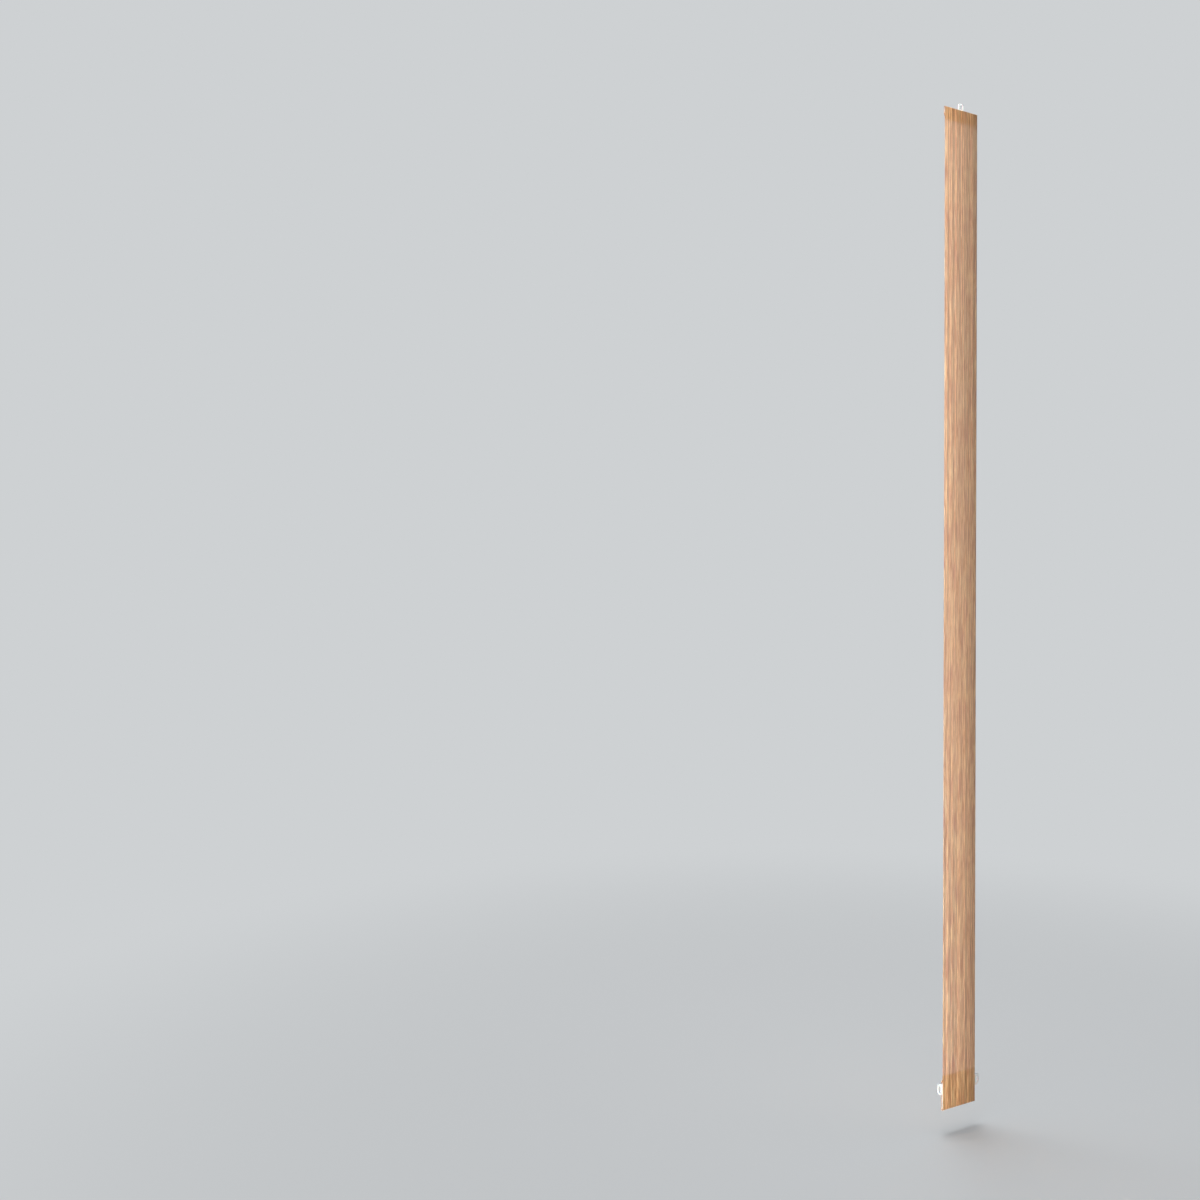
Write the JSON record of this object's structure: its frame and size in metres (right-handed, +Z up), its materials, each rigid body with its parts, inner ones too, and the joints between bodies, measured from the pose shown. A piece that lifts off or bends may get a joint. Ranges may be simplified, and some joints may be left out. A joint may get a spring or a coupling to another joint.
{
  "type": "vertical blind vane",
  "caption": "Hanging fabric vane of a vertical blind: a narrow woven strip with a moulded hook eye at the top and a weight with chain loops in its bottom pocket.",
  "frame": {"origin": "underside of the top bar of the hanger's eye, where a hook carries the vane, at mid width and mid thickness of the hanger", "axes": "+Z up along the vane, +X across its width, the face seen from the room towards -Y"},
  "size_m": [0.115, 0.0059, 1.9925],
  "materials": {
    "woven_cloth": "dim-out polyester weave with vertical slubs, light tan",
    "hanger_plastic": "satin moulded, white",
    "weight_plastic": "satin moulded, white"
  },
  "bodies": {
    "root": {"fabric_louvre": "woven_cloth", "top_hanger": "hanger_plastic", "bottom_weight": "weight_plastic"}
  },
  "joints": []
}
